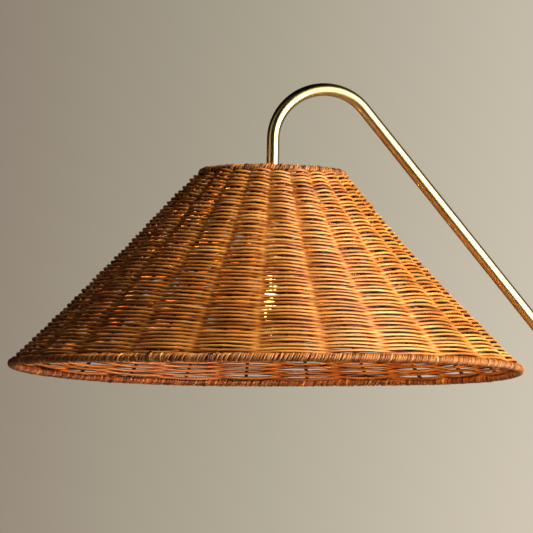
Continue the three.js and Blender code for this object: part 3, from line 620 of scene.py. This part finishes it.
rods = new_curve("rods", rod_radius, 2)
wires = new_curve("wires", wire_radius, 1)
low, high = filament_foot, filament_foot + filament_length
for rod in range(rod_count):
    angle = rod * 2 * math.pi / rod_count
    out = np.array([math.cos(angle), math.sin(angle), 0])
    bottom, top = (filament_circle * out + np.array([0, 0, z]) for z in (low, high))
    wire_along(rods, np.array([bottom + (0, 0, rod_end), top - (0, 0, rod_end)]) + np.array(head))
    inner_low, inner_high = (np.array([0, 0, z]) for z in (low - wires_below, high + wires_above))
    wire_along(wires, np.array([inner_low, bottom, bottom + (0, 0, wire_end)]) + np.array(head))
    wire_along(wires, np.array([inner_high, top, top - (0, 0, wire_end)]) + np.array(head))
filament = curve_as_object(rods, "filament_rods", glowing)
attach(filament, "stand")
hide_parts("bulb_filament")
supports = curve_as_object(wires, "filament_wires", plated_sheet)
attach(supports, "stand")

black_glass, tree, output = new_material("black glass, moulded")
place = add_node(tree, "TexCoord").outputs["Object"]
swirls = add_node(tree, "TexNoise", {"Vector": place, "Scale": 1 / (4 * mm), "Detail": 2})
tone = add_node(tree, "ValToRGB", {"Fac": swirls.outputs["Fac"]}, stops=[(0.3, "#101014"), (0.7, "#1c1b20")])
surface = add_node(tree, "BsdfPrincipled", {"Base Color": tone.outputs["Color"], "Roughness": 0.12})
tree.links.new(surface.outputs["BSDF"], output.inputs["Surface"])
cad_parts["bulb_insulator"].material_slots[0].material = black_glass

# ---------------------------------------------------------------------------------------------------------
# Woven wall: rows of round reed, each passing in front of one stake and behind the next, the row above it
# the other way round. Honey brown with darker lengths among them under a clear glossy lacquer, with painted
# shade darkening the hollows of the weave. Its left side stands about 5 mm further out than in the photo.

shade_top = 1447.15 * mm
shade_height = 195 * mm
top_circle = 70.5 * mm
shade_flare = 181.3 * mm
wall_bow = 6.2 * mm
stake_count = 24
fuller_shares = (0, 0.2, 0.5, 0.75, 1)
fuller_left = (0, 5.0 * mm, 4.8 * mm, 2.6 * mm, 1.6 * mm)
oval_share = 0.004
uneven_share = 0.003
row_sway = 0.9 * mm
row_ripple = 0.7 * mm
rim_warp = 1.75 * mm
rim_tilt = 0.0097
rim_sag = 2.4 * mm
sag_angle = 0.56
rim_shift = 3.0 * mm
weave_turn = math.radians(-2.6)
reed_radius = 1.38 * mm
reed_rows = 100
reed_sides = 8
points_per_bay = 10
over_stake = 3.05 * mm
slip_at_top = 0.3 * mm
slip_at_rim = 1.15 * mm
slip_at_left = 0.4 * mm
row_wander = 0.45 * mm
thickness_wave = 0.07
thickness_range = (0.91, 1.08)
bend_range = (0.8, 1.1)
row_tone_spread = 0.09
# Painted shade: a little darkening on both sides of each reed where it passes a stake.
crossing_shade = 0.28
noise_shift = 1.7
noise_side = 0.9 * mm
first_row_share = 0.018
last_row_share = 0.979
shade_pieces = 4
draws = np.random.default_rng(7)


def wall_place(angle, share, out=0.0, up=0.0):
    """Points of the shade about its own axis, out and up from the middle of the wall, as woven by hand:
    the rim hangs a little to one side and the rows wander."""
    radius = top_circle + shade_flare * share - 4 * wall_bow * share * (1 - share) + out
    radius = radius + np.interp(share, fuller_shares, fuller_left) * np.maximum(-np.cos(angle), 0) ** 2
    radius = radius * (1 + oval_share * share * np.sin(2 * angle + 0.6)
                       + uneven_share * share * np.sin(5 * angle + 2.1))
    height = -shade_height * share + up
    height = height + row_sway * np.sin(3 * angle + 4 * share + 0.4) * share
    height = height + row_ripple * np.sin(7 * angle - 5 * share + 1.9) * np.sin(math.pi * share)
    x = radius * np.cos(angle)
    y = radius * np.sin(angle)
    height = height + rim_warp * share * np.cos(2 * angle)
    height = height + rim_tilt * share * x
    height = height - rim_sag * share * np.maximum(np.cos(angle - sag_angle), 0) ** 6
    return np.stack([x + head.x - rim_shift * share, y, shade_top + height], -1)


def rattan(name, colours, gloss):
    """Reed with a tone of its own, clouded along its length, fine fibres and lacquer, with painted shade
    in the hollows of the weave.
    """
    material, tree, output = new_material(name)
    run = add_node(tree, "Attribute", attribute_name="reed_run").outputs["Vector"]
    own = add_node(tree, "Attribute", attribute_name="reed_tone").outputs["Fac"]
    clouds = add_node(tree, "TexNoise", {"Vector": run, "Scale": 1 / (38 * mm), "Detail": 2})
    blend = add_node(tree, "Math", {0: clouds.outputs["Fac"], 1: own}, operation="ADD")
    tone = add_node(tree, "ValToRGB", {"Fac": blend.outputs["Value"]}, stops=colours)
    stretched = add_node(tree, "Mapping", {"Vector": run, "Scale": (0.12, 1, 1)})
    fibres = add_node(tree, "TexNoise", {"Vector": stretched.outputs["Vector"], "Scale": 1 / (0.5 * mm),
                                         "Detail": 2})
    streaks = add_node(tree, "ValToRGB", {"Fac": fibres.outputs["Fac"]}, stops=[(0.3, 0.72), (0.62, 1.0)])
    colour = add_node(tree, "Mix", {0: 1.0, 6: tone.outputs["Color"], 7: streaks.outputs["Color"]},
                      data_type="RGBA", blend_type="MULTIPLY")
    # Painted shade: the colour is darkened by how far the reed lies in a hollow of the weave.
    deep = add_node(tree, "Attribute", attribute_name="reed_painted_shade")
    shade_ramp = add_node(tree, "ValToRGB", {"Fac": deep.outputs["Fac"]},
                     stops=[(0, "#ffffff"), (0.36, "#8f4f2b"), (0.8, "#220702")])
    shaded_colour = add_node(tree, "Mix", {0: 1.0, 6: colour.outputs[2], 7: shade_ramp.outputs["Color"]},
                       data_type="RGBA", blend_type="MULTIPLY")
    relief = add_node(tree, "Bump", {
        "Height": fibres.outputs["Fac"], "Strength": 0.5, "Distance": 0.12 * mm,
    })
    surface = add_node(tree, "BsdfPrincipled", {
        "Base Color": shaded_colour.outputs[2], "Roughness": 0.55, "Specular IOR Level": 0.12,
        "Coat Weight": gloss, "Coat Roughness": 0.18, "Normal": relief.outputs["Normal"],
    })
    tree.links.new(surface.outputs["BSDF"], output.inputs["Surface"])
    return material


def mark_painted_shade(piece, centres, outwards, sides):
    """Marks how much painted shade each point of a reed gets, from 0 to 1, darkening the hollows of the
    weave: the far side of a reed that stands out, the near side of one that passes behind, and a little of
    both."""
    count = len(centres) * reed_sides
    places = np.zeros(len(piece.data.vertices) * 3)
    piece.data.vertices.foreach_get("co", places)
    offsets = places.reshape(-1, 3)[:count] - np.repeat(centres, reed_sides, 0)
    facing = (offsets * np.repeat(outwards, reed_sides, 0)).sum(1) / np.linalg.norm(offsets, axis=1)
    hollows = np.zeros(len(piece.data.vertices))
    standing = np.repeat(sides, reed_sides)
    hollows[:count] = np.clip(crossing_shade * np.abs(standing) - standing * facing, 0, 1)
    piece.data.attributes.new("reed_painted_shade", "FLOAT", "POINT").data.foreach_set("value", hollows)


def mark_reeds(piece, runs, tones):
    """Gives each reed its run, the length along it with an offset of its own, and its tone; runs holds the
    length at each of its points, in the order that the reeds were drawn."""
    vertices = len(piece.data.vertices)
    along = np.repeat(np.concatenate(runs), reed_sides)
    shifts = [np.full(len(run), noise_shift * at) for at, run in enumerate(runs)]
    shift = np.repeat(np.concatenate(shifts), reed_sides)
    side = np.tile(np.arange(reed_sides) * noise_side, sum(len(run) for run in runs))
    tone = np.repeat(np.concatenate([np.broadcast_to(t, len(r)) for r, t in zip(runs, tones)]), reed_sides)
    count = min(vertices, len(along))
    vectors = np.zeros((vertices, 3))
    vectors[:count] = np.stack([along, shift, side], 1)[:count]
    values = np.zeros(vertices)
    values[:count] = tone[:count]
    marked = piece.data.attributes
    marked.new("reed_run", "FLOAT_VECTOR", "POINT").data.foreach_set("vector", vectors.ravel())
    marked.new("reed_tone", "FLOAT", "POINT").data.foreach_set("value", values)


honey = [(0.2, "#8a480f"), (0.42, "#b86f26"), (0.6, "#ce8a3a"), (0.85, "#e4aa58")]
woven_rattan = rattan("round rattan reed, lacquered", honey, 0.3)

ring_points = stake_count * points_per_bay
around = np.arange(ring_points) * 2 * math.pi / ring_points
shares = np.linspace(first_row_share, last_row_share, reed_rows)
row = 0
for part in range(shade_pieces):
    reeds = new_curve("reeds", reed_radius, (reed_sides - 4) // 2, upright=True)
    runs, tones, centres, outwards, sides = [], [], [], [], []
    for share in np.array_split(shares, shade_pieces)[part]:
        side = np.sin(stake_count / 2 * around) * (1 if row % 2 else -1)
        wave = np.sin(draws.integers(2, 9) * around + draws.uniform(0, 6))
        thickness = 1 + thickness_wave * wave * draws.uniform(0, 1)
        wander = row_wander * np.sin(draws.integers(3, 16) * around + draws.uniform(0, 6))
        side = side * np.repeat(draws.uniform(*bend_range, stake_count), points_per_bay)
        angle = around + weave_turn
        widening = shade_flare - 4 * wall_bow * (1 - 2 * share)
        lean = math.atan2(widening, shade_height)
        slip = slip_at_top + (slip_at_rim - slip_at_top) * share
        slip = slip + slip_at_left * np.maximum(-np.cos(angle), 0)
        out = over_stake * math.cos(lean) + slip * math.sin(lean)
        up = over_stake * math.sin(lean) - slip * math.cos(lean)
        points = wall_place(angle, share, out * side, up * side + wander)
        wire_along(reeds, points, thickness * draws.uniform(*thickness_range), closed=True)
        centres.append(points)
        outwards.append(np.stack([
            np.cos(angle) * math.cos(lean), np.sin(angle) * math.cos(lean), 0 * angle + math.sin(lean),
        ], 1))
        sides.append(side)
        runs.append(around * (top_circle + shade_flare * share))
        joins = np.sort(draws.uniform(0, 2 * math.pi, 2))
        tones.append(draws.normal(0, row_tone_spread, 3)[np.searchsorted(joins, around)])
        row += 1
    weave = curve_as_object(reeds, f"reed_weave_{part + 1}", woven_rattan)
    mark_reeds(weave, runs, tones)
    mark_painted_shade(weave, np.concatenate(centres), np.concatenate(outwards), np.concatenate(sides))
    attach(weave, "stand")
    if part == 0:
        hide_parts("woven_wall")

# ---------------------------------------------------------------------------------------------------------
# Stakes: stout upright reeds that the weavers pass, from border to border. Their darker brown is painted
# shade, standing for the shadow of the weave that they sit in.

stake_radius = 1.9 * mm
stake_points = 14
stake_tone_spread = 0.05
# Painted shade: these browns are kept dark to stand for the shadow of the weave.
stake_brown_and_shade = [(0.2, "#2c1509"), (0.45, "#40200d"), (0.7, "#573015"), (0.85, "#6b4020")]
stake_rattan = rattan("stout rattan reed", stake_brown_and_shade, 0.2)
uprights = new_curve("uprights", stake_radius, (reed_sides - 4) // 2)
runs, tones = [], []
down = np.linspace(0.0, 1.0, stake_points)
for stake in range(stake_count):
    angle = np.full(len(down), (stake + 0.5) * 2 * math.pi / stake_count + weave_turn)
    wire_along(uprights, wall_place(angle, down))
    runs.append(down * shade_height)
    tones.append(draws.normal(0, stake_tone_spread))
stakes = curve_as_object(uprights, "reed_stakes", stake_rattan)
mark_reeds(stakes, runs, tones)
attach(stakes, "stand")
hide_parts(*[f"stake_{number:02d}" for number in range(1, stake_count + 1)])

# ---------------------------------------------------------------------------------------------------------
# Borders: a hoop at the top and one at the rim, each wrapped with four thin reeds side by side that turn
# round it as one band. Redder than the wall, with painted shade darkening it towards its left and right,
# and a few short ties wound over the band and reed ends that stand up at the rim.

strand_radius = 1.06 * mm
strands = 4
points_per_turn = 9
lift_spread = 0.12 * mm
strand_range = (0.8, 1.1)
strand_tone_spread = 0.15
# Painted shade: how much each border is darkened towards its left and right.
painted_shade_left = 0.22
painted_shade_right = 0.11
tie_thickness = 0.85
tie_sink = 0.35 * mm
tie_tuck = 0.8 * mm
tie_overlap = 0.3
tie_pitch = 2.1 * strand_radius
stub_thickness = 0.8
stub_angles = (0, 0.5, 1.3)
stub_out = (2.6 * mm, 3.4 * mm, 3.6 * mm)
stub_up = (2.4 * mm, 4.8 * mm, 6.2 * mm)
stub_tone = 0.3
core_points = 144
core_sink = 1.3 * strand_radius
core_tone = -0.6
russet = [(0.0, "#46210d"), (0.2, "#6e3812"), (0.45, "#9e5c22"), (0.65, "#c07e38"), (0.85, "#e2aa66")]
wrapped_rattan = rattan("thin rattan reed, wrapped", russet, 0.25)


def wrapped_roll(name, node, share, roll_radius, lead, loose, ties, stubs=()):
    """Wraps the hoop at a share of the wall: strands wind about it with the given lead, over a core. Each
    tie is a place in degrees, its turns and its tone: a short length wound over the rest and tucked in.
    Each stub is the place of an end that stands up."""
    length = 2 * math.pi * (top_circle + shade_flare * share)
    turns = round(length / lead)
    roll = new_curve(name, strand_radius, (reed_sides - 4) // 2)
    steps = turns * points_per_turn
    runs, tones = [], []
    for strand in range(strands):
        travel = np.arange(steps) / steps
        lay = np.interp(travel * turns, np.arange(turns + 1), draws.normal(0, loose, turns + 1)) / turns
        angle = 2 * math.pi * (travel + lay * np.sin(math.pi * travel) + strand / (strands * turns))
        twist = 2 * math.pi * turns * travel
        lifts = draws.normal(0, lift_spread, turns + 1)
        rise = roll_radius - strand_radius + lifts[(travel * turns).astype(int)]
        points = wall_place(angle, share, rise * np.cos(twist), rise * np.sin(twist))
        thick = np.interp(travel * turns, np.arange(turns + 1), draws.uniform(*strand_range, turns + 1))
        wire_along(roll, points, thick, closed=True)
        runs.append(travel * turns * 2 * math.pi * roll_radius)
        # Painted shade: each strand is darkened towards the left and right of the shade.
        painted_side_shade = painted_shade_left * np.maximum(-np.cos(angle), 0) ** 2
        painted_side_shade = painted_side_shade + painted_shade_right * np.maximum(np.cos(angle), 0) ** 2
        turn_tones = draws.normal(0, strand_tone_spread, turns + 1)
        tones.append(np.interp(travel * turns, np.arange(turns + 1), turn_tones) - painted_side_shade)
    for place, tie_turns, tone in ties:
        travel = np.linspace(0, 1, tie_turns * points_per_turn + 4)
        twist = -math.pi / 3 + 2 * math.pi * (tie_turns + tie_overlap) * travel
        reach = roll_radius - tie_sink - tie_tuck * np.abs(2 * travel - 1) ** 8
        angle = math.radians(place) + (travel - 0.5) * tie_turns * tie_pitch / length * 2 * math.pi
        points = wall_place(angle, share, reach * np.cos(twist), reach * np.sin(twist))
        wire_along(roll, points, tie_thickness)
        runs.append(travel * tie_turns * 2 * math.pi * roll_radius)
        tones.append(tone)
    for place in stubs:
        angle = np.radians(place + np.array(stub_angles))
        points = wall_place(angle, share, np.array(stub_out), np.array(stub_up))
        wire_along(roll, points, stub_thickness)
        runs.append(np.array([0, 3, 6]) * mm)
        tones.append(stub_tone)
    angle = np.arange(core_points) * 2 * math.pi / core_points
    core = (roll_radius - core_sink) / strand_radius
    wire_along(roll, wall_place(angle, share), core, closed=True)
    runs.append(angle)
    tones.append(core_tone)
    made = curve_as_object(roll, name, wrapped_rattan)
    mark_reeds(made, runs, tones)
    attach(made, "stand")
    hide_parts(node)


top_roll_radius = 4.1 * mm
top_lead = 9.2 * mm
rim_roll_radius = 4.4 * mm
rim_lead = 9.6 * mm
loose_share = 0.1
top_ties = [
    (201.6, 2, -0.42), (231, 1, 0.2), (236, 1, -0.42), (249, 1, -0.42), (261, 1, -0.4), (277, 1, -0.42),
    (309.6, 1, -0.42), (337, 1, -0.42), (20, 2, -0.42), (75, 1, -0.42), (118, 2, -0.3), (160, 1, -0.42),
]
rim_ties = [
    (241, 1, -0.42), (244, 3, 0.1), (247, 1, -0.42), (258, 2, 0.3), (289, 1, -0.42), (25, 2, -0.2),
    (70, 1, -0.42), (105, 1, -0.42), (130, 2, 0.2), (160, 1, -0.42), (310, 1, -0.4), (342, 2, 0.1),
]
rim_stubs = (243.5, 258.2, 112)
wrapped_roll("top_border_wrap", "top_border", 0, top_roll_radius, top_lead, loose_share, top_ties)
wrapped_roll("rim_border_wrap", "rim_border", 1, rim_roll_radius, rim_lead, loose_share, rim_ties, rim_stubs)

# ---------------------------------------------------------------------------------------------------------
# Studio: a pale floor and a taupe backdrop that is lighter to the right. The key light at the right front
# and a weak rear light stay out of reflections; two soft-edged cards, front right and left, are there for
# the reflections alone. The bulb's own glow is a small point lamp at the filament.

floor_radius = 40
floor_shown_share = 0.7
shade_middle = Vector((-0.35, 0, 1.3))
card_colour = "#fff6e6"

floor_mesh = bmesh.new()
bmesh.ops.create_circle(floor_mesh, cap_ends=True, segments=96, radius=floor_radius)
pale_floor, tree, output = new_material("pale floor")
lit = add_node(tree, "BsdfDiffuse", {"Color": linear("#b9b0a0")})
shown = add_node(tree, "Emission", {"Color": linear("#d3cabb"), "Strength": 0.9})
rays = add_node(tree, "LightPath")
part_shown = add_node(tree, "Math", {0: rays.outputs["Is Camera Ray"], 1: floor_shown_share},
                      operation="MULTIPLY")
mixed = add_node(tree, "MixShader", {0: part_shown.outputs["Value"], 1: lit.outputs["BSDF"],
                                     2: shown.outputs["Emission"]})
tree.links.new(mixed.outputs["Shader"], output.inputs["Surface"])
floor = as_object(floor_mesh, "floor", pale_floor)

world = bpy.data.worlds.new("studio")
bpy.context.scene.world = world
world.use_nodes = True
tree = world.node_tree
tree.nodes.clear()
output = add_node(tree, "OutputWorld")
direction = add_node(tree, "SeparateXYZ", {"Vector": add_node(tree, "TexCoord").outputs["Generated"]})
across = add_node(tree, "MapRange", {
    "Value": direction.outputs["X"], "From Min": -0.062, "From Max": 0.062, "To Min": 0, "To Max": 1,
})
upward = add_node(tree, "MapRange", {
    "Value": direction.outputs["Z"], "From Min": 0.016, "From Max": 0.133, "To Min": 1.05, "To Max": 0.92,
})
backdrop = add_node(tree, "ValToRGB", {"Fac": across.outputs["Result"]},
                    stops=[(0.0, "#938778"), (0.5, "#aea793"), (1.0, "#cdc3b1")])

# What the brass reflects: a dark room, lit low at the rear right and along the right side.
rear = add_node(tree, "MapRange", {
    "Value": direction.outputs["Y"], "From Min": -0.1, "From Max": 0.3, "To Min": 0.08, "To Max": 1,
})
rear_right = add_node(tree, "MapRange", {
    "Value": direction.outputs["X"], "From Min": -0.15, "From Max": 0.3, "To Min": 0.06, "To Max": 1,
})
low = add_node(tree, "MapRange", {
    "Value": direction.outputs["Z"], "From Min": 0.05, "From Max": 0.35, "To Min": 1, "To Max": 0.06,
})
side_wall = add_node(tree, "MapRange", {
    "Value": direction.outputs["X"], "From Min": 0.35, "From Max": 0.8, "To Min": 0, "To Max": 0.5,
})
rays = add_node(tree, "LightPath")
seen = add_node(tree, "Math", {0: rays.outputs["Is Camera Ray"], 1: rays.outputs["Is Transmission Ray"]},
                operation="MAXIMUM")
behind = add_node(tree, "Math", {0: rear.outputs["Result"], 1: rear_right.outputs["Result"]},
                  operation="MULTIPLY")
low_behind = add_node(tree, "Math", {0: behind.outputs["Value"], 1: low.outputs["Result"]},
                      operation="MULTIPLY")
room = add_node(tree, "Math", {0: low_behind.outputs["Value"], 1: side_wall.outputs["Result"]},
                operation="MAXIMUM")
strength = add_node(tree, "Mix", {0: seen.outputs["Value"], 2: room.outputs["Value"],
                                  3: upward.outputs["Result"]})
shown = add_node(tree, "Background", {"Color": backdrop.outputs["Color"], "Strength": strength.outputs[0]})
ambient = add_node(tree, "Background", {"Color": linear("#e9e4dc"), "Strength": 0.02})
direct = add_node(tree, "Math", {0: seen.outputs["Value"], 1: rays.outputs["Is Glossy Ray"]},
                  operation="MAXIMUM")
mixed = add_node(tree, "MixShader", {0: direct.outputs["Value"], 1: ambient.outputs["Background"],
                                     2: shown.outputs["Background"]})
tree.links.new(mixed.outputs["Shader"], output.inputs["Surface"])


def soft_light(name, place, size, watts, colour):
    """A wide soft light that faces the shade, out of the camera's sight."""
    lamp = bpy.data.lights.new(name, "AREA")
    lamp.shape = "RECTANGLE"
    lamp.size, lamp.size_y = size
    lamp.energy = watts
    lamp.color = linear(colour)[:3]
    shining = bpy.data.objects.new(name, lamp)
    bpy.context.scene.collection.objects.link(shining)
    shining.location = place
    aim = shade_middle - Vector(place)
    shining.rotation_euler = aim.to_track_quat("-Z", "Y").to_euler()
    shining.visible_camera = False
    return shining


key = soft_light("key light", place=(1.53, -1.08, 2.36), size=(1.6, 1.4), watts=153, colour="#fff4e2")
key.visible_glossy = False
rear_light = soft_light("rear light", place=(-0.9, 2.6, 2.3), size=(2.4, 2.0), watts=40, colour="#f4f1ea")
rear_light.visible_glossy = False
for name, place, size, watts in (
    ("white card at the front right", (0.74, -0.80, 1.38), (2.6, 3.6), 590),
    ("white card at the left", (-2.9, -1.2, 1.3), (2.6, 2.6), 32),
):
    card = soft_light(name, place, size, watts, card_colour)
    card.visible_diffuse = False
    card.data.use_nodes = True
    tree = card.data.node_tree
    across_card = add_node(tree, "SeparateXYZ", {0: add_node(tree, "NewGeometry").outputs["Parametric"]})
    faded = []
    for axis in ("X", "Y"):
        from_middle = add_node(tree, "Math", {0: across_card.outputs[axis], 1: 0.5}, operation="SUBTRACT")
        distance = add_node(tree, "Math", {0: from_middle.outputs["Value"]}, operation="ABSOLUTE")
        faded.append(add_node(tree, "MapRange", {
            "Value": distance.outputs["Value"], "From Min": 0.03, "From Max": 0.48, "To Min": 1, "To Max": 0,
        }, interpolation_type="SMOOTHERSTEP"))
    soft = add_node(tree, "Math", {0: faded[0].outputs["Result"], 1: faded[1].outputs["Result"]},
                    operation="MULTIPLY")
    shining = tree.nodes["Emission"]
    tree.links.new(soft.outputs["Value"], shining.inputs["Strength"])

glow = bpy.data.lights.new("bulb glow", "POINT")
glow.energy = 4.6
glow.color = linear("#ffc072")[:3]
glow.shadow_soft_size = 6 * mm
glowing_bulb = bpy.data.objects.new("bulb glow", glow)
glowing_bulb.location = head + Vector((0, 0, filament_foot + filament_length / 2))
bpy.context.scene.collection.objects.link(glowing_bulb)

# ---------------------------------------------------------------------------------------------------------
# Camera: level with the lower edge of the shade, looking slightly up at it through a long lens.

photo_width = 533
focal_pixels = 4514
view_from = Vector((-0.35447, -4.5, 1.0192))
pitch = math.radians(94.263)
roll = math.radians(1.035)
lens = bpy.data.cameras.new("camera")
lens.sensor_width = 36
lens.lens = lens.sensor_width * focal_pixels / photo_width
camera = bpy.data.objects.new("camera", lens)
turned = Matrix.Rotation(pitch, 4, "X") @ Matrix.Rotation(roll, 4, "Z")
camera.matrix_world = Matrix.Translation(view_from) @ turned
bpy.context.scene.collection.objects.link(camera)
bpy.context.scene.camera = camera
bpy.context.scene.view_settings.view_transform = "Standard"
